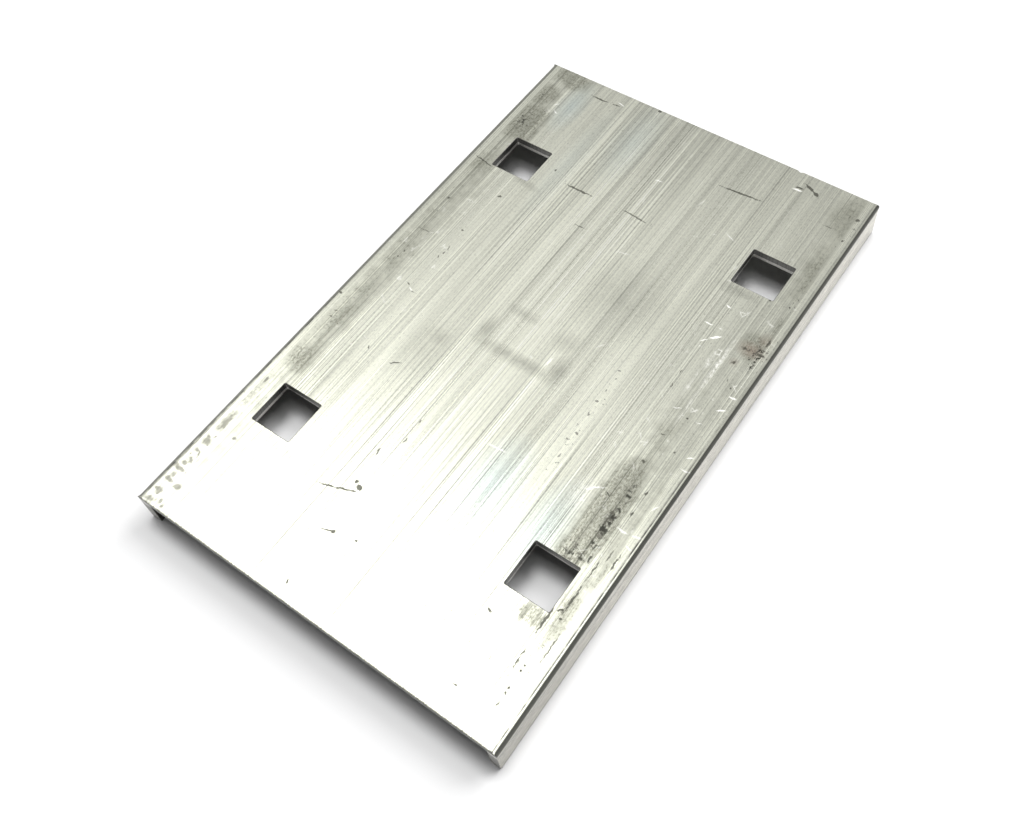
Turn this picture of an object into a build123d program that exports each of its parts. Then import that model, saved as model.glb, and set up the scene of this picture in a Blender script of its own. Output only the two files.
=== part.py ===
from build123d import *
import os

# A rectangular cover plate: one length of extruded aluminium channel, sheared off at both
# ends, with a square hole punched near each corner for the square neck of a carriage bolt.
#
# Millimetres. +X runs across the plate, +Y along the extrusion and +Z up.
# The origin is under the middle of the plate, on the surface that its two feet stand on.

# The extrusion: a wide thin web with a short leg down each long side
plate_width = 76.2
plate_length = 123.8
plate_height = 7.9
web_thickness = 2.1
leg_thickness = 2.2
shoulder_radius = 0.9
inner_corner_radius = 0.5
foot_outer_radius = 0.6
foot_inner_radius = 0.2

# The four square holes
hole_size = 8.7
hole_corner_radius = 0.3
hole_side_inset = 10.5
hole_end_inset = 26.4

# What shearing and punching leave: a rolled-over entry edge, a straight burnished land
# through the outer part of the wall, and a breakout that slopes away below the land
rollover_radius = 0.15
land_share = 0.6
breakout_slope = 0.12

# A small nick that was knocked into the top of the far end
nick_offset = 21.3
nick_width = 1.4
nick_depth = 0.4

# Worked out from the sizes above
hole_pitch_across = plate_width - 2 * hole_side_inset
hole_pitch_along = plate_length - 2 * hole_end_inset
underside_height = plate_height - web_thickness
hollow_width = plate_width - 2 * leg_thickness
land_bottom = plate_height - web_thickness * land_share
breakout_size = hole_size + 2 * breakout_slope
far_end = plate_length / 2

# What one stroke of the punch takes out of the web: the breakout, then the land above it
with BuildPart() as punched_hole:
    with BuildSketch(Plane.XY.offset(underside_height)):
        RectangleRounded(breakout_size, breakout_size, hole_corner_radius + breakout_slope)
    with BuildSketch(Plane.XY.offset(land_bottom)):
        RectangleRounded(hole_size, hole_size, hole_corner_radius)
    loft(ruled=True)
    extrude(punched_hole.faces().sort_by(Axis.Z)[-1], amount=plate_height - land_bottom)

with BuildPart() as cover_plate:
    # The channel section, drawn across the plate and run along its length
    with BuildSketch(Plane.XZ.offset(-far_end)) as section:
        Rectangle(plate_width, plate_height, align=(Align.CENTER, Align.MIN))
        Rectangle(
            hollow_width, underside_height, align=(Align.CENTER, Align.MIN), mode=Mode.SUBTRACT
        )
        inner_corners = section.vertices().group_by(Axis.Y)[1]
        fillet(inner_corners, radius=inner_corner_radius)
        shoulders = section.vertices().group_by(Axis.Y)[-1]
        fillet(shoulders, radius=shoulder_radius)
        feet = section.vertices().group_by(Axis.Y)[0].sort_by(Axis.X)
        fillet(feet[1:-1], radius=foot_inner_radius)
        feet = section.vertices().group_by(Axis.Y)[0].sort_by(Axis.X)
        fillet([feet[0], feet[-1]], radius=foot_outer_radius)
    extrude(amount=plate_length)

    # Each end breaks out below its land, so the inner part of the wall stops a little short
    for side in (-1, 1):
        with BuildSketch(Plane.XZ.offset(side * far_end)):
            with Locations((0, -web_thickness)):
                Rectangle(
                    plate_width - 2 * leg_thickness * land_share,
                    plate_height + web_thickness * (1 - land_share),
                    align=(Align.CENTER, Align.MIN),
                )
        with BuildSketch(Plane.XZ.offset(side * (far_end - breakout_slope))):
            with Locations((0, -web_thickness)):
                Rectangle(hollow_width, plate_height, align=(Align.CENTER, Align.MIN))
        loft(ruled=True, mode=Mode.SUBTRACT)

    # The square holes
    with GridLocations(hole_pitch_across, hole_pitch_along, 2, 2):
        add(punched_hole.part, mode=Mode.SUBTRACT)

    # The punch rolls the top edge of each hole over
    top_face = cover_plate.faces().sort_by(Axis.Z)[-1]
    fillet(top_face.inner_wires().edges(), radius=rollover_radius)

    # The nick in the far end's top edge
    with BuildSketch(Plane.XY.offset(plate_height)):
        with BuildLine():
            Polyline(
                (nick_offset - nick_width / 2, far_end),
                (nick_offset, far_end - nick_depth),
                (nick_offset + nick_width / 2, far_end),
                close=True,
            )
        make_face()
    extrude(amount=-web_thickness * land_share, mode=Mode.SUBTRACT)

cover_plate.part.label = "cover_plate"

os.makedirs("parts", exist_ok=True)
export_step(cover_plate.part, "parts/cover_plate.step")

print("plate", cover_plate.part.bounding_box().size)
print("volume in mm3", round(cover_plate.part.volume, 1))
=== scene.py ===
# %% [markdown]
# # A rectangular aluminium cover plate
#
# The plate is one piece of metal: a length of extruded channel, sheared off at both ends, with
# a square hole punched near each corner. The solid model of it is finished already. This lesson
# dresses it: it makes the mesh that a viewer sees, its mill finish, its marks of use and a small
# studio round it.
#
# We start by loading the solid model. Everything else takes its place and size from it, so that
# the two can never drift apart. All lengths in Blender are metres, so `MM` turns the
# millimetres of a workshop drawing into metres.

# %% Load the solid model
import math

import bpy
from mathutils import Matrix, Quaternion, Vector


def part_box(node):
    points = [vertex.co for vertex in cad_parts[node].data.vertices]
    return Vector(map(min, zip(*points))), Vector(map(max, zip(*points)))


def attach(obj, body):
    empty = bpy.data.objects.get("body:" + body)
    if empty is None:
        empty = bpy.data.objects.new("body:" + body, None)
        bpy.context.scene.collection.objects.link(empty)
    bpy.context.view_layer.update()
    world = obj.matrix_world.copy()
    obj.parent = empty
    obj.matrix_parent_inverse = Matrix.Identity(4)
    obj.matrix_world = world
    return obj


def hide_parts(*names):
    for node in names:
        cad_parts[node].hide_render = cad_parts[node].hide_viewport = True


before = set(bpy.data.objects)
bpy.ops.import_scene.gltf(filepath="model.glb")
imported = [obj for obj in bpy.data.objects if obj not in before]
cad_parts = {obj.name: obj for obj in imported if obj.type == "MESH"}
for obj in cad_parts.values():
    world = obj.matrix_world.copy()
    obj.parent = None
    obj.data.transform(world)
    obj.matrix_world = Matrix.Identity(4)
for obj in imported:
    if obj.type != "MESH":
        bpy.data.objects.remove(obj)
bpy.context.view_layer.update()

MM = 0.001
low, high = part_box("cover_plate")
size = high - low
print("The plate is", [round(side / MM, 2) for side in size], "mm")

# %% [markdown]
# ## The camera
#
# The plate is looked at from close by, from above its near right corner. A close camera makes
# the near end look much larger than the far one. We could place the camera with rotation
# angles, but a position, a direction to look in and a small roll are easier to picture. The
# small shift slides the frame without turning the camera, as a view camera's back does.

# %% Set up the camera
eye = Vector((75.7, -85.0, 173.3)) * MM
look = Vector((-0.3592, 0.4193, -0.8337))
roll = math.radians(-6.5)

lens = bpy.data.cameras.new("Camera")
lens.sensor_width = 36
lens.lens = 39.07
lens.shift_x = -0.032
lens.shift_y = -0.047
lens.clip_start = 5 * MM
camera = bpy.data.objects.new("Camera", lens)
camera.location = eye
camera.rotation_mode = "QUATERNION"
camera.rotation_quaternion = look.to_track_quat("-Z", "Y") @ Quaternion((0, 0, 1), roll)
bpy.context.scene.collection.objects.link(camera)
bpy.context.scene.camera = camera
print("The camera is", round((eye - (low + high) / 2).length / MM), "mm from the plate")

# %% [markdown]
# ## Helpers for node trees
#
# The mesh comes from a Geometry Nodes tree and the finish from shader nodes. Both are made of
# the same bricks: a node, with values or links on its inputs. A few short helpers keep the
# lesson readable. `add` makes a node and fills its inputs, `calc` does one sum, and the others
# make, take apart and scale vectors.

# %% Make nodes with little writing
def fill(tree, node, inputs):
    """Puts values or links on a node's inputs."""
    for key, value in inputs.items():
        if isinstance(value, bpy.types.NodeSocket):
            tree.links.new(value, node.inputs[key])
        else:
            node.inputs[key].default_value = value


def add(tree, kind, inputs=None, **settings):
    """A new node, with its settings, and with values or links on its inputs."""
    made = tree.nodes.new(kind)
    for name, value in settings.items():
        setattr(made, name, value)
    fill(tree, made, inputs or {})
    return made


def calc(tree, operation, *values, clamp=False):
    """One sum, as the output of a Math node."""
    inputs = dict(enumerate(values))
    return add(tree, "ShaderNodeMath", inputs, operation=operation, use_clamp=clamp).outputs[0]


def vector(tree, x=0.0, y=0.0, z=0.0):
    """Three numbers or links as one vector."""
    return add(tree, "ShaderNodeCombineXYZ", {0: x, 1: y, 2: z}).outputs[0]


def split(tree, where):
    """The x, y and z of a vector."""
    return add(tree, "ShaderNodeSeparateXYZ", {0: where}).outputs


def scaled(tree, direction, amount):
    """A vector times a number."""
    inputs = {0: direction, "Scale": amount}
    return add(tree, "ShaderNodeVectorMath", inputs, operation="SCALE").outputs[0]


def combined(tree, operation, *vectors):
    """A sum of vectors, as the output of a Vector Math node."""
    inputs = dict(enumerate(vectors))
    return add(tree, "ShaderNodeVectorMath", inputs, operation=operation).outputs[0]


# %% [markdown]
# ## The shape of the plate
#
# An extrusion's shape follows one rule: the same section all along. That suits Geometry Nodes.
# We could model the channel by hand, but a tree with named inputs says what each size is, and
# can be run again with other sizes. The inputs are the sizes that a workshop would ask for.

# %% Start the tree, with a named input for each size
shape = bpy.data.node_groups.new("Punched channel plate", "GeometryNodeTree")
shape.interface.new_socket("Plate", in_out="OUTPUT", socket_type="NodeSocketGeometry")
sizes = {
    "Width": size.x,
    "Length": size.y,
    "Height": size.z,
    "Web thickness": 2.1 * MM,
    "Leg thickness": 2.2 * MM,
    "Shoulder radius": 0.9 * MM,
    "Inner corner radius": 0.5 * MM,
    "Foot outer radius": 0.6 * MM,
    "Foot inner radius": 0.2 * MM,
    "Hole size": 8.7 * MM,
    "Hole corner radius": 0.3 * MM,
    "Hole inset from side": 10.5 * MM,
    "Hole inset from end": 26.4 * MM,
    "Rollover radius": 0.15 * MM,
    "Land share": 0.6,
    "Breakout": 0.12 * MM,
    "Nick offset": 21.3 * MM,
    "Nick width": 1.4 * MM,
    "Nick depth": 0.4 * MM,
    "Shear rollover": 0.08 * MM,
    "Burr": 0.7 * MM,
    "Raggedness": 0.03 * MM,
}
for name, value in sizes.items():
    socket = shape.interface.new_socket(name, in_out="INPUT", socket_type="NodeSocketFloat")
    socket.default_value = value
for name in ("Mill finish", "Cut finish"):
    shape.interface.new_socket(name, in_out="INPUT", socket_type="NodeSocketMaterial")
given = add(shape, "NodeGroupInput").outputs
result = add(shape, "NodeGroupOutput")
print("The tree has", len(sizes), "named sizes")

# %% Work out the lengths that several steps share
half_width = calc(shape, "MULTIPLY", given["Width"], 0.5)
half_length = calc(shape, "MULTIPLY", given["Length"], 0.5)
hollow_side = calc(shape, "SUBTRACT", half_width, given["Leg thickness"])
underside = calc(shape, "SUBTRACT", given["Height"], given["Web thickness"])
land = calc(shape, "MULTIPLY", given["Web thickness"], given["Land share"])
land_bottom = calc(shape, "SUBTRACT", given["Height"], land)
minus_half_width = calc(shape, "MULTIPLY", half_width, -1.0)
minus_hollow_side = calc(shape, "MULTIPLY", hollow_side, -1.0)
seam = calc(shape, "MULTIPLY_ADD", given["Leg thickness"], -0.5, half_width)

# %% [markdown]
# ### The section
#
# The section is a shallow channel: a wide thin web with a short leg down each side. A line of
# nine points takes the places of its corners, and Fillet Curve rounds each by its own radius.
# The first point is no corner: it puts the outline's seam on the sole of a foot, out of sight.

# %% Draw the channel section
def choose(tree, kind, items):
    """The item whose number is the point's own number in its line."""
    made = add(tree, "GeometryNodeIndexSwitch", data_type=kind)
    while len(made.index_switch_items) < len(items):
        made.index_switch_items.new()
    index = add(tree, "GeometryNodeInputIndex").outputs[0]
    fill(tree, made, dict(enumerate([index, *items])))
    return made.outputs[0]


# Each corner is its x, its height and its radius.
corners = [
    (seam, 0.0, 0.0),
    (half_width, 0.0, given["Foot outer radius"]),
    (half_width, given["Height"], given["Shoulder radius"]),
    (minus_half_width, given["Height"], given["Shoulder radius"]),
    (minus_half_width, 0.0, given["Foot outer radius"]),
    (minus_hollow_side, 0.0, given["Foot inner radius"]),
    (minus_hollow_side, underside, given["Inner corner radius"]),
    (hollow_side, underside, given["Inner corner radius"]),
    (hollow_side, 0.0, given["Foot inner radius"]),
]
corner_places = choose(shape, "VECTOR", [vector(shape, x, y) for x, y, radius in corners])
corner_radii = choose(shape, "FLOAT", [radius for x, y, radius in corners])


def moved(geometry, **change):
    """Geometry whose points have a new Position, or are moved by an Offset."""
    return add(shape, "GeometryNodeSetPosition", {"Geometry": geometry.outputs[0], **change})


dots = add(shape, "GeometryNodeMeshLine", {"Count": len(corners)})
placed = moved(dots, Position=corner_places)
outline = add(shape, "GeometryNodeMeshToCurve", {"Mesh": placed.outputs[0]})
closed = add(
    shape, "GeometryNodeSetSplineCyclic", {"Geometry": outline.outputs[0], "Cyclic": True}
)
section = add(
    shape,
    "GeometryNodeFilletCurve",
    {"Curve": closed.outputs[0], "Count": 6, "Radius": corner_radii},
    mode="POLY",
)

# %% [markdown]
# ### The run along the length
#
# The section is swept along a straight line. The line's points crowd together near the two
# ends, because the ends are where shearing has bent and rolled the metal, so that is where the
# mesh needs them. On a level line Curve to Mesh hangs a section upside down, so a tilt of half
# a turn stands it upright.

# %% Sweep the section along the plate
straight = add(
    shape,
    "GeometryNodeCurvePrimitiveLine",
    {
        "Start": vector(shape, 0.0, half_length),
        "End": vector(shape, 0.0, calc(shape, "MULTIPLY", half_length, -1.0)),
    },
)
station_count = 73
stations = add(
    shape,
    "GeometryNodeResampleCurve",
    {"Curve": straight.outputs[0], "Count": station_count},
    mode="COUNT",
)
along = add(shape, "GeometryNodeSplineParameter").outputs["Factor"]
turn = calc(shape, "MULTIPLY", along, math.pi)
crowded = calc(shape, "MULTIPLY", calc(shape, "COSINE", turn), half_length)
crowd = moved(stations, Position=vector(shape, 0.0, crowded))
upright = add(shape, "GeometryNodeSetCurveTilt", {"Curve": crowd.outputs[0], "Tilt": math.pi})
bar = add(
    shape,
    "GeometryNodeCurveToMesh",
    {"Curve": upright.outputs[0], "Profile Curve": section.outputs[0], "Fill Caps": True},
)

# %% [markdown]
# ### What the shear does to the ends
#
# A shear blade presses the metal before it cuts it, so the edge it starts from is rolled over a
# little. Where the cut leaves the metal at a corner, a small burr stays behind. Both are moves
# of the mesh points close to the ends: in by a share that fades with the distance from the end,
# and for the burr sideways and up, within about a millimetre of the corner.

# %% Roll the sheared edges over
place = add(shape, "GeometryNodeInputPosition").outputs[0]
place_xyz = split(shape, place)
normal = add(shape, "GeometryNodeInputNormal").outputs[0]


def fading(tree, value, near, far):
    """Evenly from 1 at the near distance to 0 at the far one."""
    inputs = {"Value": value, "From Min": near, "From Max": far, "To Min": 1.0, "To Max": 0.0}
    return add(tree, "ShaderNodeMapRange", inputs).outputs[0]


end_gap = calc(shape, "SUBTRACT", half_length, calc(shape, "ABSOLUTE", place_xyz[1]))
near_end = fading(shape, end_gap, 0.0, 0.3 * MM)
rolled_by = calc(shape, "MULTIPLY", calc(shape, "POWER", near_end, 2.0), given["Shear rollover"])
sideways = combined(shape, "NORMALIZE", combined(shape, "MULTIPLY", normal, (1, 0, 1)))
inward = scaled(shape, sideways, calc(shape, "MULTIPLY", rolled_by, -1.0))
uneven = add(
    shape,
    "ShaderNodeTexNoise",
    {"Vector": place, "Scale": 260.0, "Detail": 3.0, "Roughness": 0.6},
    noise_dimensions="3D",
)
# The noise seldom reaches 0.75, so that the bites go inwards and the length stays.
bite = calc(
    shape, "MULTIPLY", calc(shape, "SUBTRACT", uneven.outputs[0], 0.75), given["Raggedness"]
)
bitten = calc(
    shape, "MULTIPLY", bite, calc(shape, "MULTIPLY", calc(shape, "SIGN", place_xyz[1]), near_end)
)
end_offset = combined(
    shape, "ADD", inward, vector(shape, 0.0, calc(shape, "MULTIPLY", bitten, 2.0))
)
rolled = moved(bar, Offset=end_offset)

# %% Leave a burr at the four top corners of the ends
top_corner = vector(shape, half_width, half_length, given["Height"])
mirrored = combined(shape, "ABSOLUTE", place)
gap = add(
    shape, "ShaderNodeVectorMath", {0: mirrored, 1: top_corner}, operation="DISTANCE"
).outputs["Value"]
burr_share = calc(shape, "POWER", fading(shape, gap, 0.3 * MM, 1.1 * MM), 2.0)
burr_height = calc(
    shape, "MULTIPLY", calc(shape, "MULTIPLY", burr_share, near_end), given["Burr"]
)
burr_lean = (0.5, 0.0, 0.35)
leaning = combined(shape, "MULTIPLY", combined(shape, "SIGN", place), burr_lean)
burred = moved(rolled, Offset=scaled(shape, leaning, burr_height))

# %% [markdown]
# ### Tools to cut with
#
# Punching and shearing leave the same three marks on a cut wall: a rolled-over top edge, a
# bright straight land, and below it a rough dark breakout that leans outwards. Each tool is a
# solid with those shapes on its sides, and one boolean takes them all out of the bar. The walls
# that they leave carry a `cut` mark, so that they can have a finish of their own.

# %% Make the punch
# Each level of the punch is a height, and how far it stands out past the hole's own size. Above
# the land it swells as a rolled edge does at 0, 30 and 75 degrees of its turn, and then clears
# the top. Those rows are up and out, in rollover radii.
spread_low = calc(shape, "MULTIPLY", given["Breakout"], 1.45)
spread_high = calc(shape, "MULTIPLY", given["Breakout"], 0.3)
punch_levels = [
    (calc(shape, "SUBTRACT", underside, 0.4 * MM), spread_low),
    (underside, given["Breakout"]),
    (calc(shape, "SUBTRACT", land_bottom, 0.04 * MM), spread_high),
    (land_bottom, 0.0),
]
for rise, spread in ((-1.0, 0.0), (-0.5, 0.134), (-0.034, 0.741), (0.6, 1.4)):
    level = calc(shape, "MULTIPLY_ADD", given["Rollover radius"], rise, given["Height"])
    punch_levels.append((level, calc(shape, "MULTIPLY", given["Rollover radius"], spread)))
rod = add(shape, "GeometryNodeMeshLine", {"Count": len(punch_levels)})
rod_height = choose(shape, "FLOAT", [level for level, spread in punch_levels])
rod_spread = choose(shape, "FLOAT", [spread for level, spread in punch_levels])
stood = moved(rod, Position=vector(shape, 0.0, 0.0, rod_height))
stem = add(shape, "GeometryNodeMeshToCurve", {"Mesh": stood.outputs[0]})
half_hole = calc(shape, "MULTIPLY", given["Hole size"], 0.5)
swell = calc(shape, "ADD", 1.0, calc(shape, "DIVIDE", rod_spread, half_hole))
square = add(
    shape,
    "GeometryNodeCurvePrimitiveQuadrilateral",
    {"Width": given["Hole size"], "Height": given["Hole size"]},
    mode="RECTANGLE",
)
soft_square = add(
    shape,
    "GeometryNodeFilletCurve",
    {"Curve": square.outputs[0], "Count": 4, "Radius": given["Hole corner radius"]},
    mode="POLY",
)
punch = add(
    shape,
    "GeometryNodeCurveToMesh",
    {
        "Curve": stem.outputs[0],
        "Profile Curve": soft_square.outputs[0],
        "Scale": swell,
        "Fill Caps": True,
    },
)

# %% Stand a punch at each of the four holes
hole_pitch = [
    calc(shape, "MULTIPLY_ADD", given["Hole inset from side"], -2.0, given["Width"]),
    calc(shape, "MULTIPLY_ADD", given["Hole inset from end"], -2.0, given["Length"]),
]
pattern = add(
    shape,
    "GeometryNodeMeshGrid",
    {"Size X": hole_pitch[0], "Size Y": hole_pitch[1], "Vertices X": 2, "Vertices Y": 2},
)
punches = add(
    shape,
    "GeometryNodeInstanceOnPoints",
    {"Points": pattern.outputs[0], "Instance": punch.outputs[0]},
)
solid_punches = add(shape, "GeometryNodeRealizeInstances", {0: punches.outputs[0]})

# %% Make the block that breaks the ends out
# It is a frustum: as wide as the hollow at its inner end, and wider at the plate's end face.
block = add(
    shape,
    "GeometryNodeMeshCube",
    {"Size": (1, 1, 1), "Vertices X": 140, "Vertices Y": 2, "Vertices Z": 2},
)
# The cube's own place runs from -0.5 to 0.5, so these two run from 0 to 1.
outer = calc(shape, "ADD", place_xyz[1], 0.5)
upper = calc(shape, "ADD", place_xyz[2], 0.5)
lean = calc(shape, "MULTIPLY", calc(shape, "SUBTRACT", 1.0, given["Land share"]), outer)
block_x = calc(
    shape,
    "MULTIPLY",
    calc(shape, "MULTIPLY", place_xyz[0], 2.0),
    calc(shape, "MULTIPLY_ADD", lean, given["Leg thickness"], hollow_side),
)
block_y = calc(
    shape, "MULTIPLY_ADD", calc(shape, "SUBTRACT", outer, 1.0), given["Breakout"], half_length
)
below_floor = 3 * MM
block_top = calc(shape, "MULTIPLY_ADD", lean, given["Web thickness"], underside)
block_height = calc(shape, "ADD", block_top, below_floor)
block_z = calc(shape, "SUBTRACT", calc(shape, "MULTIPLY", upper, block_height), below_floor)
ragged = add(
    shape,
    "ShaderNodeTexNoise",
    {"Vector": scaled(shape, place, 900.0), "Scale": 0.11, "Detail": 3.0, "Roughness": 0.7},
    noise_dimensions="3D",
)
torn = calc(
    shape,
    "MULTIPLY",
    calc(shape, "MULTIPLY", calc(shape, "SUBTRACT", ragged.outputs[0], 0.5), 4.0),
    calc(shape, "MULTIPLY", given["Raggedness"], upper),
)
block_place = vector(shape, block_x, block_y, calc(shape, "ADD", block_z, torn))
frustum = moved(block, Position=block_place)
turned_round = add(
    shape, "GeometryNodeTransform", {"Geometry": frustum.outputs[0], "Rotation": (0, 0, math.pi)}
)

# %% Make the wedge that nicked the far end
wedge = add(shape, "GeometryNodeMeshCube", {"Size": (1, 1, 1)})
diamond = add(
    shape, "GeometryNodeTransform", {"Geometry": wedge.outputs[0], "Rotation": (0, 0, math.pi / 4)}
)
nick_scale = vector(
    shape,
    calc(shape, "MULTIPLY", given["Nick width"], math.sqrt(0.5)),
    calc(shape, "MULTIPLY", given["Nick depth"], math.sqrt(2.0)),
    calc(shape, "MULTIPLY", land, 2.0),
)
nick = add(
    shape,
    "GeometryNodeTransform",
    {
        "Geometry": diamond.outputs[0],
        "Translation": vector(shape, given["Nick offset"], half_length, given["Height"]),
        "Scale": nick_scale,
    },
)

# %% [markdown]
# ### Cut, smooth and finish
#
# One boolean takes every tool out of the bar. Edges that turn by more than 30 degrees stay
# sharp and the rest are shaded smooth, so that the rolled edges look round. The tree ends in
# Realize Instances and Set Material: the cut walls get the cut finish, the rest keep the
# finish of the die.

# %% Cut the holes, the ends and the nick
tools = add(shape, "GeometryNodeJoinGeometry")
for tool in (solid_punches, nick, frustum, turned_round):
    shape.links.new(tool.outputs[0], tools.inputs[0])
marked = add(
    shape,
    "GeometryNodeStoreNamedAttribute",
    {"Geometry": tools.outputs[0], "Name": "cut", "Value": True},
    data_type="BOOLEAN",
    domain="FACE",
)
cutting = add(
    shape,
    "GeometryNodeMeshBoolean",
    {"Mesh 1": burred.outputs[0], "Mesh 2": marked.outputs[0]},
    operation="DIFFERENCE",
    solver="EXACT",
)

# %% Shade it, lay a map along it and give it its finishes
angle = add(shape, "GeometryNodeInputMeshEdgeAngle").outputs["Unsigned Angle"]
sharp = calc(shape, "GREATER_THAN", angle, math.radians(30))
all_smooth = add(
    shape,
    "GeometryNodeSetShadeSmooth",
    {"Geometry": cutting.outputs[0], "Shade Smooth": True},
    domain="FACE",
)
creased = add(
    shape,
    "GeometryNodeSetShadeSmooth",
    {"Geometry": all_smooth.outputs[0], "Selection": sharp, "Shade Smooth": False},
    domain="EDGE",
)
side = calc(shape, "SIGN", place_xyz[0])
around = calc(shape, "SUBTRACT", place_xyz[0], calc(shape, "MULTIPLY", side, place_xyz[2]))
mapped = add(
    shape,
    "GeometryNodeStoreNamedAttribute",
    {
        "Geometry": creased.outputs[0],
        "Name": "along_the_die",
        "Value": scaled(shape, vector(shape, around, place_xyz[1]), 8.0),
    },
    data_type="FLOAT2",
    domain="CORNER",
)
whole = add(shape, "GeometryNodeRealizeInstances", {0: mapped.outputs[0]})
finished = add(
    shape,
    "GeometryNodeSetMaterial",
    {"Geometry": whole.outputs[0], "Material": given["Mill finish"]},
)
is_cut = add(shape, "GeometryNodeInputNamedAttribute", {"Name": "cut"}, data_type="BOOLEAN")
facing_end = calc(shape, "ABSOLUTE", split(shape, normal)[1])
is_end = calc(shape, "GREATER_THAN", facing_end, 0.9)
cut_or_end = add(
    shape, "FunctionNodeBooleanMath", {0: is_cut.outputs[0], 1: is_end}, operation="OR"
)
both = add(
    shape,
    "GeometryNodeSetMaterial",
    {
        "Geometry": finished.outputs[0],
        "Selection": cut_or_end.outputs[0],
        "Material": given["Cut finish"],
    },
)
shape.links.new(both.outputs[0], result.inputs[0])
print("The tree has", len(shape.nodes), "nodes")

# %% [markdown]
# ## The finish of the die
#
# Mill finish is bare aluminium as it leaves the extrusion die. The die draws fine lines along
# the whole length, and bands between them that scatter the light a little more or less. A
# picture of the lines would blur from close by, so noise that is stretched along the length
# makes them. Both finishes use the lines, so they are a node group, built once: its outputs are
# only masks and values.

# %% Helpers for the finishes
def new_group(name, inputs, outputs):
    """An empty node group. Inputs with a number are numbers and the others are vectors."""
    group = bpy.data.node_groups.new(name, "ShaderNodeTree")
    for label, value in inputs.items():
        kind = "NodeSocketVector" if value is None else "NodeSocketFloat"
        socket = group.interface.new_socket(label, in_out="INPUT", socket_type=kind)
        if value is not None:
            socket.default_value = value
    for label in outputs:
        group.interface.new_socket(label, in_out="OUTPUT", socket_type="NodeSocketFloat")
    return group, add(group, "NodeGroupInput").outputs, add(group, "NodeGroupOutput")


def use(tree, group, **values):
    """A node group placed in a material, with its own values."""
    inputs = {name.replace("_", " "): value for name, value in values.items()}
    return add(tree, "ShaderNodeGroup", inputs, node_tree=group).outputs


def noise(tree, where, scale, detail=2.0, roughness=0.5):
    """Noise from 0 to 1 at a place in millimetres."""
    inputs = {"Vector": where, "Scale": scale, "Detail": detail, "Roughness": roughness}
    return add(tree, "ShaderNodeTexNoise", inputs, noise_dimensions="3D").outputs[0]


def ramp(tree, value, low_end, high_end, bottom=0.0, top=1.0):
    """Smoothly from bottom to top as value goes from one end to the other."""
    inputs = {
        "Value": value,
        "From Min": low_end,
        "From Max": high_end,
        "To Min": bottom,
        "To Max": top,
    }
    made = add(tree, "ShaderNodeMapRange", inputs, interpolation_type="SMOOTHSTEP")
    return made.outputs[0]


def swing(tree, value):
    """Noise that swings to both sides of zero."""
    return calc(tree, "SUBTRACT", value, 0.5)


def share(tree, value, amount):
    """What is left when a mask takes away a share: 1 where the mask is 0."""
    return calc(tree, "MULTIPLY_ADD", value, -amount, 1.0)


def tinted(tree, grey, *parts):
    """A grey with its red, green and blue scaled."""
    channels = {i: calc(tree, "MULTIPLY", grey, part) for i, part in enumerate(parts)}
    return add(tree, "ShaderNodeCombineColor", channels).outputs[0]


# %% Build the group of lengthwise lines
line_group, line_in, line_out = new_group(
    "Drawn lines",
    {"Place": None, "Lines per mm": 3.0, "Band width": 3.0},
    ["Lines", "Bands", "Gatherings", "Scores"],
)
line_xyz = split(line_group, line_in["Place"])


def drawn_noise(across, stretch, apart):
    """Noise drawn out along the length. Another height in it gives another pattern."""
    where = vector(line_group, across, calc(line_group, "MULTIPLY", line_xyz[1], stretch), apart)
    return noise(line_group, where, 1.0, 2.0, 0.6)


fine_place = calc(line_group, "MULTIPLY", line_xyz[0], line_in["Lines per mm"])
band_place = calc(line_group, "DIVIDE", line_xyz[0], line_in["Band width"])
gather_place = calc(line_group, "MULTIPLY", line_xyz[0], 0.55)
score_place = calc(line_group, "MULTIPLY", line_xyz[0], 0.8)
gather_noise = drawn_noise(gather_place, 0.015, 3.1)
# A score is where its noise passes its middle, which makes lines and not spots.
score_edge = calc(
    line_group, "ABSOLUTE", swing(line_group, drawn_noise(score_place, 0.004, 5.7))
)
line_masks = {
    "Lines": drawn_noise(fine_place, 0.012, 0.0),
    "Bands": drawn_noise(band_place, 0.004, 7.3),
    "Gatherings": ramp(line_group, gather_noise, 0.38, 0.62),
    "Scores": ramp(line_group, score_edge, 0.032, 0.012),
}
for label, mask in line_masks.items():
    line_group.links.new(mask, line_out.inputs[label])
print("The lines come in", len(line_masks), "masks")

# %% Build the group that strews hairlines
# The borders of long thin cells are lines of an even width.
hair_group, hair_in, hair_out = new_group("Hairlines", {"Place": None, "Turn": None}, ["Mask"])
hair_cell = (2.2, 6.0, 1.0)
hair_place = add(
    hair_group,
    "ShaderNodeMapping",
    {"Vector": hair_in["Place"], "Rotation": hair_in["Turn"], "Scale": hair_cell},
    vector_type="TEXTURE",
)
hair_cells = add(
    hair_group,
    "ShaderNodeTexVoronoi",
    {"Vector": hair_place.outputs[0], "Scale": 1.0},
    feature="DISTANCE_TO_EDGE",
    voronoi_dimensions="2D",
)
hair_line = ramp(hair_group, hair_cells.outputs["Distance"], 0.045, 0.015)
hair_group.links.new(hair_line, hair_out.inputs[0])

# %% Start the mill finish
def start_finish(name):
    """A material with an empty tree, and its place on the plate in millimetres."""
    made = bpy.data.materials.new(name)
    made.use_nodes = True
    tree = made.node_tree
    tree.nodes.clear()
    where = scaled(tree, add(tree, "ShaderNodeTexCoord").outputs["Object"], 1 / MM)
    return made, tree, where, split(tree, where)


mill, finish, here, here_xyz = start_finish("Mill finish aluminium")
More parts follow.
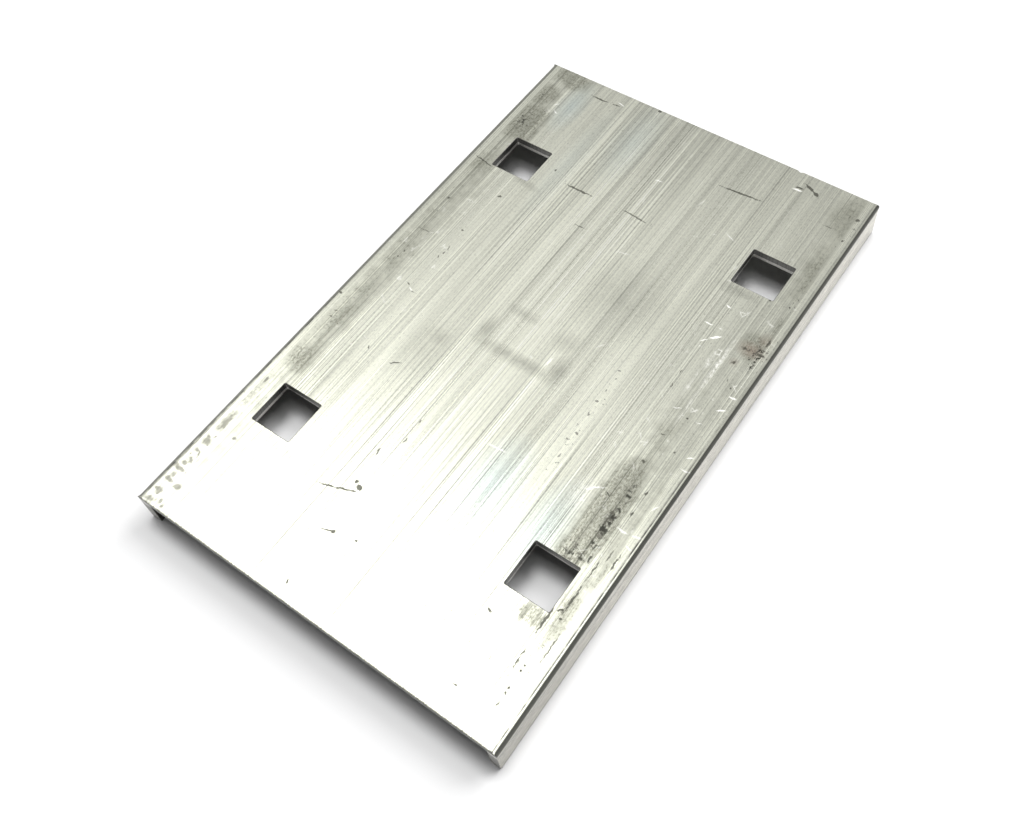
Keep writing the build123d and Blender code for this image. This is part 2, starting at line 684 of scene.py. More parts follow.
# The finish runs on round the shoulders, so it is laid out flat: across the top this place is
# shoulder_place at the shoulder, and it goes on growing down the side to half_across at the foot.
half_across = size.x / 2 / MM
top_level = size.z / MM
shoulder_place = half_across - top_level
side_sign = calc(finish, "SIGN", here_xyz[0])
unrolled = calc(finish, "SUBTRACT", here_xyz[0], calc(finish, "MULTIPLY", side_sign, here_xyz[2]))
unrolled_size = calc(finish, "ABSOLUTE", unrolled)
flat_place = vector(finish, unrolled, here_xyz[1])
flat_here = combined(finish, "MULTIPLY", here, (1, 1, 0))
drawn_lines = use(finish, line_group, Place=flat_place, Lines_per_mm=4.0, Band_width=2.6)
grain_place = combined(finish, "MULTIPLY", flat_place, (1.0, 0.6, 1))
grain = noise(finish, grain_place, 2.6, 3.0, 0.7)
flecks = noise(finish, grain_place, 2.0, 5.0, 0.65)

# %% [markdown]
# ### Marks of use
#
# A plate that has lain in a bin has marks of its own: grime pressed in along the edges, pits and
# soot in the grime, soft grey smudges, dark strokes where something dragged across it, and thin
# bright scratches. Noise alone would spread them evenly, which looks false. So each mark is listed
# one by one, and noise only breaks up its outline. A row of numbers is one mark, in millimetres
# on the plate: x, y, half width, half length, strength and, where it lies askew, its turn.

# %% Add up marks
# A mark is a soft ellipse: its strength falls evenly from its centre to its rim. All the marks
# with the same turn share one turned place, which keeps the tree light.
turned_places = {}


def turned(tree, where, degrees):
    """The place, turned so that a mark with this turn lies straight in it."""
    if degrees == 0:
        return where
    key = (where.node.name, degrees)
    if key not in turned_places:
        inputs = {"Vector": where, "Rotation": (0, 0, -math.radians(degrees))}
        turned_places[key] = add(tree, "ShaderNodeMapping", inputs, vector_type="POINT").outputs[0]
    return turned_places[key]


def marks(tree, where, rows):
    """The strongest of several marks at each place."""
    total = 0.0
    for x, y, half_x, half_y, strength, *turn in rows:
        degrees = turn[0] if turn else 0
        centre = Vector((x, y, 0)) @ Matrix.Rotation(math.radians(degrees), 3, "Z")
        stretch = (1 / half_x, 1 / half_y, 0)
        shift = (-centre.x / half_x, -centre.y / half_y, 0)
        off = combined(tree, "MULTIPLY_ADD", turned(tree, where, degrees), stretch, shift)
        length = add(tree, "ShaderNodeVectorMath", {0: off}, operation="LENGTH").outputs["Value"]
        fade = calc(tree, "MULTIPLY_ADD", length, -strength, strength)
        total = calc(tree, "MAXIMUM", total, fade)
    return total


def broken(where, rows, rough_noise, depth, start, full):
    """Marks whose outlines a noise breaks up, from their first trace to their full strength."""
    level = calc(
        finish, "MULTIPLY_ADD", swing(finish, rough_noise), depth, marks(finish, where, rows)
    )
    return ramp(finish, level, start, full)


def dotted(rows, dot_noise, lift, level, soft):
    """Dots, where marks lift a noise over a level."""
    below = calc(finish, "SUBTRACT", dot_noise, level)
    lifted = calc(finish, "MULTIPLY_ADD", marks(finish, flat_here, rows), lift, below)
    return ramp(finish, lifted, 0.0, soft)


# Small marks are placed in a shaken place, so that they are not neat ellipses.
wobble = add(
    finish, "ShaderNodeTexNoise", {"Vector": here, "Scale": 1.4, "Detail": 2.0}
).outputs["Color"]
wobble_swing = combined(finish, "SUBTRACT", wobble, (0.5, 0.5, 0.5))
shaken = combined(finish, "MULTIPLY_ADD", wobble_swing, (0.6, 0.6, 0), flat_here)

# %% Grime rubbed in along the edges
grime_rows = [
    (-33.5, 0, 5.4, 95, 0.56), (-33.2, -15, 4.8, 14, 0.68), (-33.2, -25.5, 4.5, 6, 1.05),
    (-33.4, 14, 5, 12, 0.55), (-34, 30, 5, 8, 0.8), (-33.5, 44.5, 5.5, 8, 1.7),
    (-34.5, 53, 4.5, 5, 1.35), (-32, 60, 7, 4, 1.35), (-31, 42, 3, 5, 1.3),
    (36.5, 56, 8, 12, 0.9), (34.5, 20.5, 4, 5, 1.15), (35.8, 24, 1.3, 9, 1.1),
    (35.2, 43, 1.4, 6, 0.9), (36, 41, 5, 15, 0.9), (29.8, -21, 4.2, 17, 1.9),
    (28.8, -29, 3.2, 6, 1.7), (30.4, -22, 1.9, 14, 1.9), (30.5, -3, 5, 16, 0.5),
    (35.2, -20, 3.2, 24, 0.45), (36, -29, 2.6, 13, 0.75), (29.9, -41.6, 3.4, 2.4, 1.5),
    (34.2, -39, 3.6, 13, 0.8), (35.5, -44, 2.2, 17, 0.5),
]
patches = noise(finish, flat_place, 0.3, 4.0, 0.65)
grime = calc(
    finish,
    "MULTIPLY",
    broken(flat_here, grime_rows, patches, 1.1, 0.05, 0.8),
    ramp(finish, grain, 0.36, 0.62, 0.42, 1.0),
)
# Handling wipes the last millimetres before the shoulders clean.
clean_rim = ramp(finish, unrolled_size, shoulder_place - 1.8, shoulder_place - 2.7)
grime = calc(finish, "MULTIPLY", grime, clean_rim)
print("The grime has", len(grime_rows), "patches")

# %% Pits
pit_rows = [
    (-35, -50, 2.6, 16, 0.72), (-35.2, -36, 2.6, 6, 0.6), (-33.5, 44.5, 4, 6, 0.65),
    (-34.5, 53, 3, 4, 0.65), (-34, -15, 3.4, 10, 0.5), (31, -22, 1.6, 13, 1.1),
    (29, -29, 3, 6, 0.95), (35.5, 19, 3, 8, 0.8), (36, 55, 3.5, 6, 0.45),
    (30, -42, 2.6, 2.2, 0.6), (34, -44, 2.4, 10, 0.6), (17.3, -10, 1.8, 26, 0.68),
    (-26, 10, 1.4, 18, 0.45), (-9, -54, 30, 9, 0.25),
]
pits = dotted(pit_rows, noise(finish, flat_place, 0.95, 3.0, 0.6), 0.27, 0.73, 0.06)

# %% Soft blotches by the near left corner
blotch_rows = [
    (-35.3, -43, 1.12, 3.25, 0.8), (-35.4, -47.7, 1.38, 1, 0.9), (-35.8, -46.8, 0.75, 0.5, 0.8),
    (-35.6, -49.8, 0.75, 0.56, 0.9), (-35.1, -51.8, 0.44, 1.12, 0.9, 40),
    (-35.7, -52.8, 0.88, 0.62, 1), (-36.8, -53.8, 0.88, 0.75, 0.9), (-35.6, -54.1, 2, 0.56, 1),
    (-35.6, -55.5, 0.88, 1, 0.7), (-35.7, -56.6, 1.5, 0.75, 0.9), (-33.4, -56.8, 1, 0.88, 1.1),
    (-35.5, -59, 1, 1.12, 1), (-36.4, -58.9, 0.62, 0.62, 0.8), (-33.8, -60.3, 0.38, 1.25, 0.8),
    (-33, -61, 0.5, 0.5, 0.8), (-35.7, -61, 2, 1.12, 0.7), (-31.6, -44.6, 0.75, 0.5, 0.8),
    (-35.4, -32.6, 0.38, 1, 1.1), (-37, -50, 0.7, 15, 0.4), (-35.4, -36, 1.6, 6, 0.35),
]
blotches = broken(shaken, blotch_rows, flecks, 1.0, 0.05, 0.6)

# %% Fine black specks in the thickest grime
speck_rows = [
    (31, -22, 1.9, 15, 0.6), (28.8, -29.5, 3, 4, 0.75), (35.5, 19, 3, 10, 0.8),
    (-33.5, 44.5, 4, 7, 0.8), (-34, -15, 3.5, 12, 0.55), (-33.5, 14, 3.5, 12, 0.45),
    (30, -41.8, 2.6, 2.2, 0.5), (35.5, 30, 1.5, 20, 0.6), (36, 50, 3.5, 14, 0.5),
]
black_specks = dotted(speck_rows, flecks, 0.3, 0.74, 0.05)

# %% Soft grey smudges, and soft dark rims below three holes
# The last three rows darken the metal softly below the near edges of three holes.
smudge_rows = [
    (0, -4.6, 11.5, 1.9, 1.1), (-8.6, -2.5, 1.8, 4.2, 1), (7.6, -2.6, 2.4, 4.2, 1.05),
    (-4.5, 4.3, 4.5, 1.6, 0.8), (5.5, 3.2, 3, 3, 0.7), (-15, -12, 7, 8, 0.4),
    (-20, 52, 8, 14, 0.3), (-15, -8.5, 4, 3, 0.75), (8, 17, 12, 10, 0.5),
    (-40, 0, 15, 110, 0.7), (41, 5, 17, 90, 0.8), (31, -20, 4.5, 20, 0.8),
    (-28, -26, 9, 15, 0.55), (26, -26, 9, 14, 0.4), (0, 66, 60, 28, 0.4), (-33, 44, 7, 9, 0.5),
    (35, 55, 9, 12, 0.5), (26, 29.6, 5.5, 1.8, 0.9), (-23.5, 30.6, 5, 1.2, 0.8, -10),
    (-21.5, -41.6, 4.5, 1.8, 0.6),
]
smudge_clouds = noise(finish, flat_here, 0.3, 3.0, 0.6)
smudge = calc(
    finish,
    "MULTIPLY",
    marks(finish, flat_here, smudge_rows),
    ramp(finish, smudge_clouds, 0.25, 0.6, 0.55, 1.0),
)
# Smudges are fainter on the clean rim too.
smudge = calc(finish, "MULTIPLY", smudge, calc(finish, "MULTIPLY_ADD", clean_rim, 0.6, 0.4))

# %% Dark strokes and dots
stroke_rows = [
    (-23.5, 58, 2.64, 0.23, 1), (-19.7, 58.2, 1.2, 0.22, 0.9), (-11, 61.4, 0.5, 0.4, 1),
    (14.2, 50.6, 5.8, 0.3, 0.9, 5), (-13.2, 34.6, 4.32, 0.27, 1),
    (0, 34.7, 4.08, 0.24, 0.9, -5), (25, 58.8, 2, 0.38, 1.1, -25),
    (26.6, 58, 0.8, 0.5, 1.3, -25), (23, 57.8, 1.1, 0.3, 0.9, 10),
    (32.5, 52, 1.8, 0.15, 0.6, 5), (36.3, 56.3, 0.6, 0.6, 0.9), (-20, 36.5, 0.4, 0.4, 0.8),
    (-25.5, 25, 0.5, 0.4, 0.8), (-7.5, 27, 1.92, 0.18, 0.6), (31.5, 31, 0.4, 0.4, 0.7),
    (-34, 31, 3.12, 0.25, 0.8, -10), (-18, -17, 1.56, 0.2, 0.9, 30),
    (-36.8, -10.3, 0.4, 0.3, 0.9), (-33, 10.2, 2.8, 0.15, 0.5), (-33, 4, 0.3, 0.6, 0.8),
    (-33.1, 2.3, 0.25, 0.4, 0.6), (-33.9, 19.3, 0.5, 0.4, 0.6), (-26.5, 14.1, 0.4, 0.35, 0.9),
    (-26, 9, 0.18, 0.8, 0.7, 20), (-26.5, 6.5, 0.2, 0.6, 0.7, 30),
    (-27.2, -1.7, 0.9, 0.18, 0.7, -20), (-25.2, -2.8, 1, 0.18, 0.6),
    (-24.3, -17, 0.15, 0.8, 0.7, 40), (-11.8, -42.3, 2.64, 0.22, 0.95, 15),
    (-8.6, -41.2, 2.64, 0.22, 0.95, 20), (-7, -39.8, 0.8, 0.7, 1), (-8.2, -39.2, 0.4, 0.5, 0.9),
    (-6.5, -48.6, 1.44, 0.22, 0.9, 20), (-5.5, -48.3, 0.5, 0.55, 1),
    (-1.3, -47.5, 0.5, 0.3, 0.7), (-6, -59, 0.3, 0.8, 0.7, 20),
    (-8.8, -32.8, 0.2, 1.54, 0.7, 10), (26.5, -57, 1.2, 0.18, 0.6),
    (24, -44.7, 0.8, 0.3, 0.7, -30), (32.1, -41.2, 0.35, 3.4, 1), (32.3, -48, 0.25, 5, 0.5),
    (33.8, -36, 0.3, 4, 0.7), (33.3, -38.4, 0.9, 0.35, 0.8, 45), (35.4, -44.5, 0.18, 4, 0.6),
    (34, -39.7, 0.3, 0.35, 0.8), (33.7, -48.7, 0.3, 0.3, 0.8), (33.7, -49.7, 0.3, 0.3, 0.8),
    (33.7, -52.8, 0.3, 0.4, 0.9), (33.7, -53.8, 0.3, 0.3, 0.8), (33.7, -55.6, 0.18, 0.9, 0.6),
    (-6.5, -24, 0.22, 0.7, 0.8), (-6.3, -28.5, 0.22, 0.9, 0.6), (33.6, -14.3, 0.3, 0.6, 0.8),
    (33.6, -18.7, 0.3, 0.7, 0.75), (30, -9.5, 0.5, 0.4, 0.9), (28.3, -17.8, 0.8, 0.2, 0.7, -25),
    (33.8, -30.5, 0.18, 3.4, 0.7), (34.6, -27, 0.3, 2, 0.5), (36, -27.5, 0.3, 3, 0.6),
    (33.5, -5.2, 0.3, 0.35, 0.6), (29.9, -3.3, 0.6, 0.25, 0.6), (31.8, 1.5, 0.35, 0.35, 0.7),
    (25.9, 9, 0.15, 0.6, 0.7), (26, 6, 0.15, 0.8, 0.7, 10), (33.6, 11.9, 0.3, 0.4, 0.6),
    (34.9, 10.8, 0.3, 0.3, 0.7), (32.9, 19.4, 1.1, 0.6, 0.6), (35.8, 19.5, 1.1, 0.5, 0.7),
    (32.7, 15.8, 0.7, 0.8, 0.5), (35.8, 22.5, 0.4, 1.6, 0.6),
]
strokes = broken(shaken, stroke_rows, flecks, 1.1, 0.1, 0.45)
print("The plate has", len(stroke_rows), "dark strokes and dots")

# %% Black soot in the grime by the near right hole
soot_rows = [
    (31.2, -14.3, 0.6, 0.45, 0.8), (31.1, -15.4, 0.7, 0.45, 0.85),
    (31.4, -16.4, 0.8, 0.45, 1.1, -20), (31.4, -19.3, 0.9, 0.7, 0.9),
    (31.3, -20.9, 1, 0.75, 1.1), (31.5, -22.2, 0.8, 0.5, 1), (31.3, -23.5, 1.1, 0.8, 1.3),
    (31.5, -24.4, 0.6, 0.4, 0.8), (31.1, -26.3, 0.6, 0.9, 0.9), (31.9, -26.8, 0.4, 1, 0.8),
    (32.2, -29, 0.45, 1.1, 1.1), (31, -29.7, 0.9, 0.5, 0.9), (28.9, -29.8, 1.6, 0.7, 0.85),
]
soot = broken(shaken, soot_rows, grain, 2.2, 0.1, 0.8)

# %% Thin bright scratches
scratch_rows = [
    (9, 44.5, 0.13, 2.2, 0.5, -15), (15, 39, 0.9, 0.14, 0.5, 30), (-1, 45, 1.2, 0.15, 0.8, 10),
    (-19, 59, 1.4, 0.15, 0.9, -15), (23, 57.2, 1.4, 0.3, 1, 5), (23.2, 31, 0.9, 0.2, 0.6, 20),
    (22.4, 34, 0.2, 1.4, 0.5, -10), (25.9, 25.8, 0.8, 0.3, 0.9, -20),
    (24.8, 20.6, 1.3, 0.25, 0.8, 5), (27.3, 18.6, 1.6, 0.3, 1.1, 40),
    (25.8, 17, 1.1, 0.2, 0.7, 35), (36.2, 9.2, 1.1, 0.25, 0.8, 5), (35.8, 6, 1.2, 0.22, 1, 30),
    (29.3, 2.5, 1.4, 0.18, 0.7, 25), (33.9, 1.8, 1.4, 0.15, 0.5, 10),
    (26.2, -17.8, 2.2, 0.25, 1, 35), (25.2, -18.8, 1.2, 0.2, 0.8, 20),
    (36.8, -7.3, 1.6, 0.2, 0.8, 5), (36.2, -4.8, 1, 0.18, 0.8, 25),
    (36.2, -15.8, 0.2, 1.4, 0.7, -25), (36.4, -24.1, 0.9, 0.22, 0.8),
    (32.4, -26.5, 0.3, 0.3, 0.8), (34.5, -31, 0.8, 0.2, 0.6), (11, 6, 0.18, 2.4, 0.4, -35),
    (5.3, -1.8, 0.25, 1.7, 0.7, -10), (2, -2.7, 0.6, 0.3, 0.5, -40),
    (-26, -2.5, 1.2, 0.15, 0.8, -25), (7.5, -21, 2.8, 0.18, 1, 5), (33.9, -22.1, 1.6, 0.25, 1),
    (36.3, -21.8, 1.2, 0.25, 1, 10), (-31, 38, 3.2, 0.16, 0.7, 20),
    (-30.5, 52, 1.4, 0.16, 0.6, 50), (-29.5, 50, 1.2, 0.16, 0.6, -30),
    (3, 26, 2.4, 0.14, 0.6, 15), (18, 40, 2.6, 0.14, 0.6, -20),
]
scratches = ramp(finish, marks(finish, shaken, scratch_rows), 0.1, 0.6)
print("The plate has", len(scratch_rows), "bright scratches")

# %% Bright rubbed streaks
rubbed_rows = [
    (30.6, 14, 0.7, 9, 1), (30.6, 4, 0.5, 6, 0.6), (29, 13.5, 0.9, 2.4, 0.8),
    (28.6, 7, 0.6, 3, 0.6), (24.5, -20, 2.5, 5, 0.5),
]
rubbed = calc(
    finish, "MULTIPLY", marks(finish, shaken, rubbed_rows), ramp(finish, flecks, 0.4, 0.6)
)
scratches = calc(finish, "MAXIMUM", scratches, calc(finish, "MULTIPLY", rubbed, 0.8))

# %% Hairlines, mostly down the right side
hair_rows = [(31, -5, 12, 60, 1), (-30, 8, 9, 70, 0.85), (0, 40, 30, 30, 0.3)]
haired = marks(finish, flat_here, hair_rows)
white_hairs = 0.0
for turn_by in (62, -48, 18):
    hairs = use(finish, hair_group, Place=flat_here, Turn=(0, 0, math.radians(turn_by)))[0]
    white_hairs = calc(finish, "MAXIMUM", white_hairs, hairs)
hair_gaps = ramp(finish, noise(finish, flat_here, 0.4, 2.0, 0.6), 0.59, 0.69)
white_hairs = calc(finish, "MULTIPLY", white_hairs, hair_gaps)
hair_strength = ramp(finish, haired, 0.0, 0.7, 0.08, 0.5)
scratches = calc(
    finish, "MAXIMUM", scratches, calc(finish, "MULTIPLY", white_hairs, hair_strength)
)

# %% Cool tints that the die left
tint_rows = [
    (11, -27, 6, 12, 1), (23, -29, 5, 12, 0.9), (-11, 51, 5, 14, 0.45), (-19, 40, 3, 20, 0.3),
    (-27.5, 53, 3.5, 9, 0.8),
]
tint = marks(finish, flat_here, tint_rows)

# %% Weigh the lines of the die
# They gather in places, are fainter towards the far end and are calm in a few long strips.
line_strength = calc(
    finish,
    "MULTIPLY",
    calc(finish, "MULTIPLY_ADD", drawn_lines["Gatherings"], 1.7, 0.5),
    ramp(finish, here_xyz[1], 10.0, 50.0, 1.0, 0.72),
)
streaks = calc(finish, "MULTIPLY", swing(finish, drawn_lines["Lines"]), line_strength)
streaks = calc(finish, "MULTIPLY_ADD", swing(finish, drawn_lines["Bands"]), 0.4, streaks)
streaks = calc(finish, "MULTIPLY_ADD", drawn_lines["Scores"], -0.13, streaks)
calm_rows = [
    (14, 42, 13, 65, 1), (25, 46, 15, 40, 0.9), (-24, 50, 9, 30, 0.9), (-23, 15, 7, 30, 0.6),
]
calm = marks(finish, flat_here, calm_rows)

# %% Set how light the bare metal is
bare_metal = 0.785
grey = calc(finish, "MULTIPLY_ADD", streaks, share(finish, calm, 0.6), bare_metal)
grey = calc(finish, "MULTIPLY_ADD", swing(finish, grain), 0.7, grey)
light_rows = [
    (0, 10, 5.5, 56, 1.25), (-4.5, -4, 4, 58, 1.4), (-28, -5, 3, 34, 0.85),
    (10, -5, 3, 12, 0.8), (23, -7, 8, 14, 0.7), (17.2, -10, 2.4, 26, 1.1),
    (-24, -10, 3, 40, 0.5), (-7, -16, 6, 16, 1.2), (5.5, -6, 2, 14, 1.2),
    (-11, 20, 2.5, 26, 0.7), (14, 2, 3.5, 16, 0.8),
]
grey = calc(finish, "MULTIPLY_ADD", marks(finish, flat_here, light_rows), 0.11, grey)
grey = calc(finish, "MULTIPLY", grey, share(finish, smudge, 0.4))
# Under the web and inside the legs the metal carries painted shade, so it is much darker. The
# legs' outer faces are as low, so they are lifted out of it.
outer_face = calc(
    finish, "GREATER_THAN", calc(finish, "ABSOLUTE", here_xyz[0]), half_across - 1.1
)
lifted_height = calc(finish, "MULTIPLY_ADD", outer_face, 9.0, here_xyz[2])
painted_underside_shade = ramp(finish, lifted_height, 6.4, 6.0)
grey = calc(finish, "MULTIPLY", grey, share(finish, painted_underside_shade, 0.68))

# %% Painted dark lines along the shoulders and the feet
# A thin dark line just inside the edge, where the shoulder starts to round; a dark band round
# the shoulder, which is a painted reflection; and a dark line round the feet, which is a painted
# reflection of the shadow on the floor.
def drawn_line(middle, half, soft):
    """A line along the plate, at a place round the section."""
    off = calc(finish, "ABSOLUTE", calc(finish, "SUBTRACT", unrolled_size, middle))
    return ramp(finish, off, half, half - soft)


half_along = calc(finish, "MULTIPLY", here_xyz[1], 0.5)
edge_break = noise(finish, vector(finish, unrolled, half_along), 1.0, 3.0, 0.6)
inner_line = calc(
    finish,
    "MULTIPLY",
    drawn_line(shoulder_place - 0.9, 0.2, 0.12),
    ramp(finish, edge_break, 0.3, 0.6, 0.5, 1.0),
)
inner_line = calc(finish, "MULTIPLY", inner_line, ramp(finish, here_xyz[1], -20.0, 8.0, 1.0, 0.35))
# The right shoulder's painted reflection lies a little further out than the left one's, and is
# darker.
shoulder_middle = calc(finish, "MULTIPLY_ADD", side_sign, 0.3, shoulder_place - 0.1)
painted_shoulder_reflection = calc(
    finish,
    "MULTIPLY",
    drawn_line(shoulder_middle, 0.8, 0.3),
    calc(finish, "MULTIPLY_ADD", side_sign, 0.13, 0.85),
)
painted_foot_shade = calc(finish, "MULTIPLY", drawn_line(half_across - 0.5, 0.3, 0.25), 0.6)
edge_lines_and_painted_shade = calc(finish, "MAXIMUM", calc(finish, "MAXIMUM", inner_line, painted_shoulder_reflection), painted_foot_shade)

# %% Lay the colours over each other
rust_rows = [(34, 19.5, 3.6, 2.2, 0.9), (35.2, 22.5, 1.8, 2.4, 0.5), (32.7, 15.8, 1.2, 1.2, 0.6)]


def mixed(tree, factor, first, second):
    """One colour over another."""
    made = add(tree, "ShaderNodeMix", {0: factor, 6: first, 7: second}, data_type="RGBA")
    return made.outputs[2]


# From the bottom up: each mask, how well it covers what is under it, and its colour.
layers = [
    (tint, 0.7, tinted(finish, grey, 0.86, 1.0, 0.97)),
    (scratches, 1.0, (0.95, 0.95, 0.9, 1)),
    (grime, 0.78, (0.13, 0.13, 0.095, 1)),
    (marks(finish, flat_here, rust_rows), 0.5, (0.36, 0.25, 0.19, 1)),
    (calc(finish, "MAXIMUM", pits, blotches), 0.7, (0.09, 0.085, 0.07, 1)),
    (calc(finish, "MAXIMUM", black_specks, soot), 0.88, (0.032, 0.032, 0.026, 1)),
    (strokes, 0.8, (0.07, 0.07, 0.055, 1)),
    # The edge lines are mostly painted reflection and painted shade, along the shoulders and feet.
    (edge_lines_and_painted_shade, 0.9, (0.03, 0.03, 0.03, 1)),
]
colour = tinted(finish, grey, 0.99, 1.0, 0.845)
for mask, cover, layer_colour in layers:
    colour = mixed(finish, calc(finish, "MULTIPLY", mask, cover), colour, layer_colour)
print("The top has", len(layers), "layers over bare metal")

# %% Shade the sides
# They are a little bluer than the top and coarser in grain, and painted shade darkens them towards
# the near end.
on_side = ramp(finish, unrolled_size, shoulder_place + 0.6, shoulder_place + 1.0)
painted_near_shade = ramp(finish, here_xyz[1], -62.0, -10.0, 0.66, 0.97)
side_place = vector(finish, calc(finish, "MULTIPLY", unrolled, 2.0), half_along)
side_grain = noise(finish, side_place, 1.0, 4.0, 0.6)
side_shade = calc(finish, "MULTIPLY", painted_near_shade, calc(finish, "ADD", side_grain, 0.45))
warmed = add(
    finish,
    "ShaderNodeMix",
    {0: on_side, 6: colour, 7: tinted(finish, side_shade, 0.98, 0.945, 1.0)},
    data_type="RGBA",
    blend_type="MULTIPLY",
).outputs[2]

# %% Give the finish its gloss and its relief
rough = calc(finish, "MULTIPLY_ADD", swing(finish, drawn_lines["Bands"]), 0.2, 0.3)
dull = calc(finish, "MAXIMUM", strokes, scratches)
rough = calc(finish, "MULTIPLY_ADD", dull, 0.25, rough)
height = calc(finish, "MULTIPLY_ADD", dull, -1.2, drawn_lines["Lines"])
relief = add(
    finish,
    "ShaderNodeBump",
    {"Strength": 0.2, "Distance": 0.015 * MM, "Height": height},
)
tangent = add(finish, "ShaderNodeTangent", direction_type="UV_MAP", uv_map="along_the_die")
metallic = calc(finish, "MULTIPLY_ADD", scratches, -0.55, share(finish, grime, 0.25), clamp=True)
metal_shader = add(
    finish,
    "ShaderNodeBsdfPrincipled",
    {
        "Base Color": warmed,
        "Metallic": metallic,
        "Roughness": rough,
        "Normal": relief.outputs[0],
        "Anisotropic": 0.6,
        "Tangent": tangent.outputs[0],
    },
)
add(finish, "ShaderNodeOutputMaterial", {0: metal_shader.outputs[0]})
print("The mill finish has", len(finish.nodes), "nodes")

# %% Make the cut finish
# The land is smooth, and its dark colour is a painted reflection of the shade. The torn part below
# it is lighter, and the ends of the legs get painted shade, so they are darker again.
cut, torn_tree, cut_here, cut_xyz = start_finish("Cut aluminium")
cut_lines = use(
    torn_tree,
    line_group,
    Place=vector(torn_tree, calc(torn_tree, "ADD", cut_xyz[0], cut_xyz[1]), cut_xyz[2]),
    Lines_per_mm=5.0,
    Band_width=1.5,
)
land_level = (size.z - sizes["Web thickness"] * sizes["Land share"]) / MM
below_land = ramp(torn_tree, cut_xyz[2], land_level + 0.05, land_level - 0.05)
# The dark base grey of the land is its painted reflection of the shade.
cut_grey = calc(torn_tree, "MULTIPLY_ADD", swing(torn_tree, cut_lines["Lines"]), 0.35, 0.17)
cut_grey = calc(torn_tree, "MULTIPLY_ADD", below_land, 0.45, cut_grey)
leg_top = (size.z - sizes["Web thickness"]) / MM
# The ends of the legs get painted shade.
painted_leg_end_shade = ramp(torn_tree, cut_xyz[2], leg_top + 0.1, leg_top - 0.3)
cut_grey = calc(torn_tree, "MULTIPLY", cut_grey, share(torn_tree, painted_leg_end_shade, 0.55))
cut_relief = add(
    torn_tree,
    "ShaderNodeBump",
    {"Strength": 0.5, "Distance": 0.03 * MM, "Height": cut_lines["Lines"]},
)
cut_shader = add(
    torn_tree,
    "ShaderNodeBsdfPrincipled",
    {
        "Base Color": tinted(torn_tree, cut_grey, 1.0, 0.99, 0.93),
        "Metallic": 1.0,
        "Roughness": calc(torn_tree, "MULTIPLY_ADD", below_land, 0.15, 0.38),
        "Normal": cut_relief.outputs[0],
    },
)
add(torn_tree, "ShaderNodeOutputMaterial", {0: cut_shader.outputs[0]})
print("Two finishes:", mill.name, "and", cut.name)

# %% [markdown]
# ## Make the plate
#
# The modifier's inputs are set by their identifiers, because two inputs may share a name. The
# evaluated object becomes a plain mesh before anything else is done with it, and face-weighted
# normals keep the large flats flat beside their small round edges.

# %% Run the tree
def run_tree(tree, name, values):
    """The plain mesh that a tree makes, from inputs set by their identifiers."""
    holder = bpy.data.objects.new(name, bpy.data.meshes.new(name))
    bpy.context.scene.collection.objects.link(holder)
    modifier = holder.modifiers.new("Shape", "NODES")
    modifier.node_group = tree
    for item in tree.interface.items_tree:
        if item.in_out == "INPUT" and item.name in values:
            modifier[item.identifier] = values[item.name]
    weighted = holder.modifiers.new("Flat flats", "WEIGHTED_NORMAL")
    weighted.keep_sharp = True
    bpy.context.view_layer.update()
    evaluated = holder.evaluated_get(bpy.context.evaluated_depsgraph_get())
    mesh = bpy.data.meshes.new_from_object(evaluated)
    holder.modifiers.clear()
    holder.data = mesh
    mesh.name = name
    return holder


plate = run_tree(shape, "plate", {**sizes, "Mill finish": mill, "Cut finish": cut})
print("The plate has", len(plate.data.polygons), "faces and", len(plate.data.materials), "finishes")

# %% Let the plate stand for the solid
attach(plate, "root")
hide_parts("cover_plate")

# %% [markdown]
# ## The studio
#
# A plain white floor, a large soft light overhead, a window-like light beyond the far end, a
# soft sun that keeps the floor white, and a pale grey room. Metal shows what stands round it:
# the overhead light is what the near end mirrors, and the grey room is what the far end mirrors.
# The window and the sun only light the scene, and the metal doesn't mirror them.

# %% Lay the floor
import bmesh

ground = bmesh.new()
bmesh.ops.create_circle(ground, cap_ends=True, segments=96, radius=2.5)
floor_mesh = bpy.data.meshes.new("floor")
ground.to_mesh(floor_mesh)
ground.free()
floor = bpy.data.objects.new("floor", floor_mesh)
bpy.context.scene.collection.objects.link(floor)
paper = bpy.data.materials.new("White paper")
paper.use_nodes = True
paper_shader = paper.node_tree.nodes["Principled BSDF"]
paper_shader.inputs["Base Color"].default_value = (0.7, 0.7, 0.7, 1)
paper_shader.inputs["Roughness"].default_value = 0.9
floor_mesh.materials.append(paper)

# %% Hang the lights
def softbox(name, centre, aim, width, height, radiance, colour=(1, 1, 1)):
    """A rectangular light of an even brightness, facing a point."""
    lamp = bpy.data.lights.new(name, "AREA")
    lamp.shape = "RECTANGLE"
    lamp.size = width
    lamp.size_y = height
    lamp.energy = radiance * math.pi * width * height
    lamp.color = colour
    held = bpy.data.objects.new(name, lamp)
    held.location = centre
    held.rotation_mode = "QUATERNION"
    held.rotation_quaternion = (Vector(aim) - Vector(centre)).to_track_quat("-Z", "Y")
    bpy.context.scene.collection.objects.link(held)
    return held


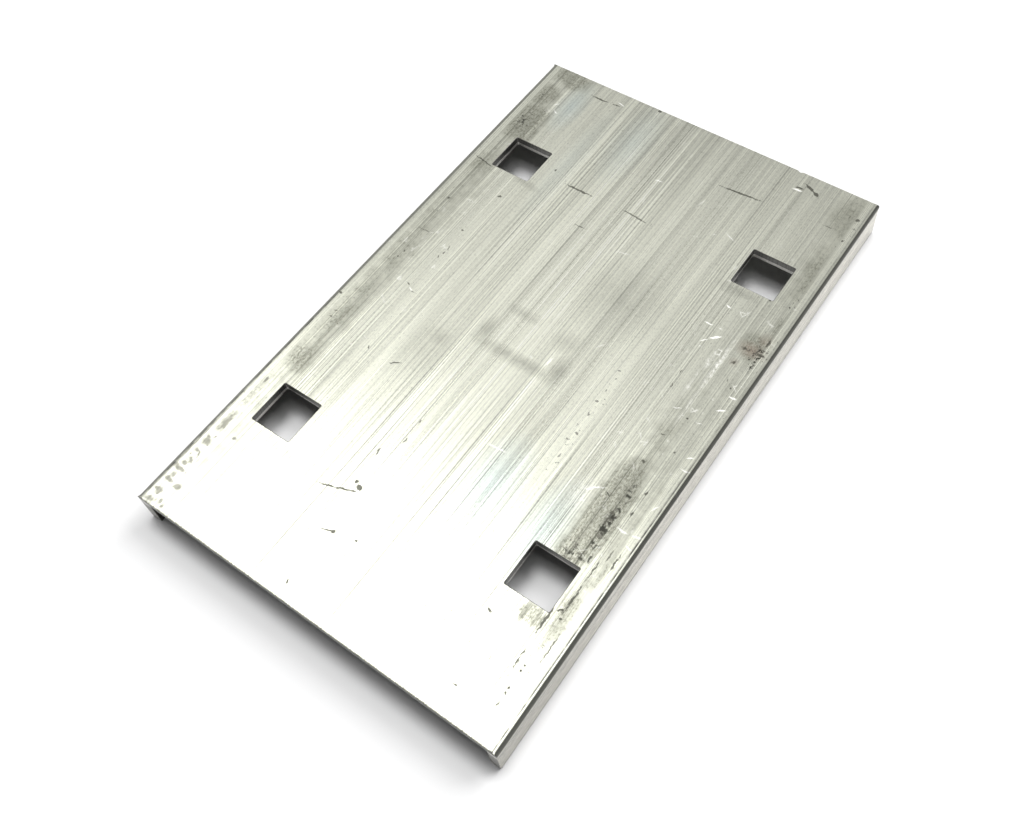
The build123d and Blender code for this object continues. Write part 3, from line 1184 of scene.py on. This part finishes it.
overhead = softbox("Overhead", (-0.15, 0.04, 1.0), (-0.15, 0.04, 0.0), 1.2, 0.45, 2.6)
window = softbox("Window", (0.35, 0.76, 1.0), (0, 0, 0), 0.7, 0.7, 9.0)
sky_lamp = bpy.data.lights.new("Flood", "SUN")
sky_lamp.energy = 1.6
sky_lamp.angle = math.radians(20)
flood = bpy.data.objects.new("Flood", sky_lamp)
flood.rotation_mode = "QUATERNION"
flood.rotation_quaternion = Vector((0.1, -0.22, -1.1)).to_track_quat("-Z", "Y")
bpy.context.scene.collection.objects.link(flood)
for hidden in (window, flood):
    hidden.visible_glossy = False

# %% Light the room
# The ceiling is brightest just left of overhead and dimmer behind the camera. The walls are
# pale low down.
room = bpy.data.worlds.new("Room")
room.use_nodes = True
room.node_tree.nodes.clear()
air = room.node_tree
direction = add(air, "ShaderNodeTexCoord").outputs["Generated"]
ahead, upward = split(air, direction)[1:3]
high_walls = calc(
    air, "MULTIPLY", ramp(air, upward, 0.3, 0.8, 0.44, 0.56), ramp(air, ahead, -0.6, 0.3, 0.5, 1.0)
)
low_walls = ramp(air, upward, 0.55, 0.3, 0.0, 1.0)
walls = calc(
    air,
    "ADD",
    calc(air, "MULTIPLY", high_walls, calc(air, "SUBTRACT", 1.0, low_walls)),
    calc(air, "MULTIPLY", low_walls, 0.95),
)
ceiling = Vector((-0.42, 0.14, 0.9)).normalized()
toward = add(
    air, "ShaderNodeVectorMath", {0: direction, 1: tuple(ceiling)}, operation="DOT_PRODUCT"
).outputs["Value"]
away = calc(air, "DEGREES", calc(air, "ARCCOSINE", toward))
sky = calc(air, "ADD", walls, ramp(air, away, 45.0, 15.0, 0.0, 0.32))
# The walls light the floor only a little, so that shadows under the plate stay deep.
bounced = add(air, "ShaderNodeLightPath").outputs["Is Diffuse Ray"]
glow = add(
    air,
    "ShaderNodeBackground",
    {"Color": tinted(air, sky, 1.0, 1.0, 1.02), "Strength": share(air, bounced, 0.65)},
)
add(air, "ShaderNodeOutputWorld", {0: glow.outputs[0]})
bpy.context.scene.world = room
bpy.context.scene.view_settings.view_transform = "Standard"
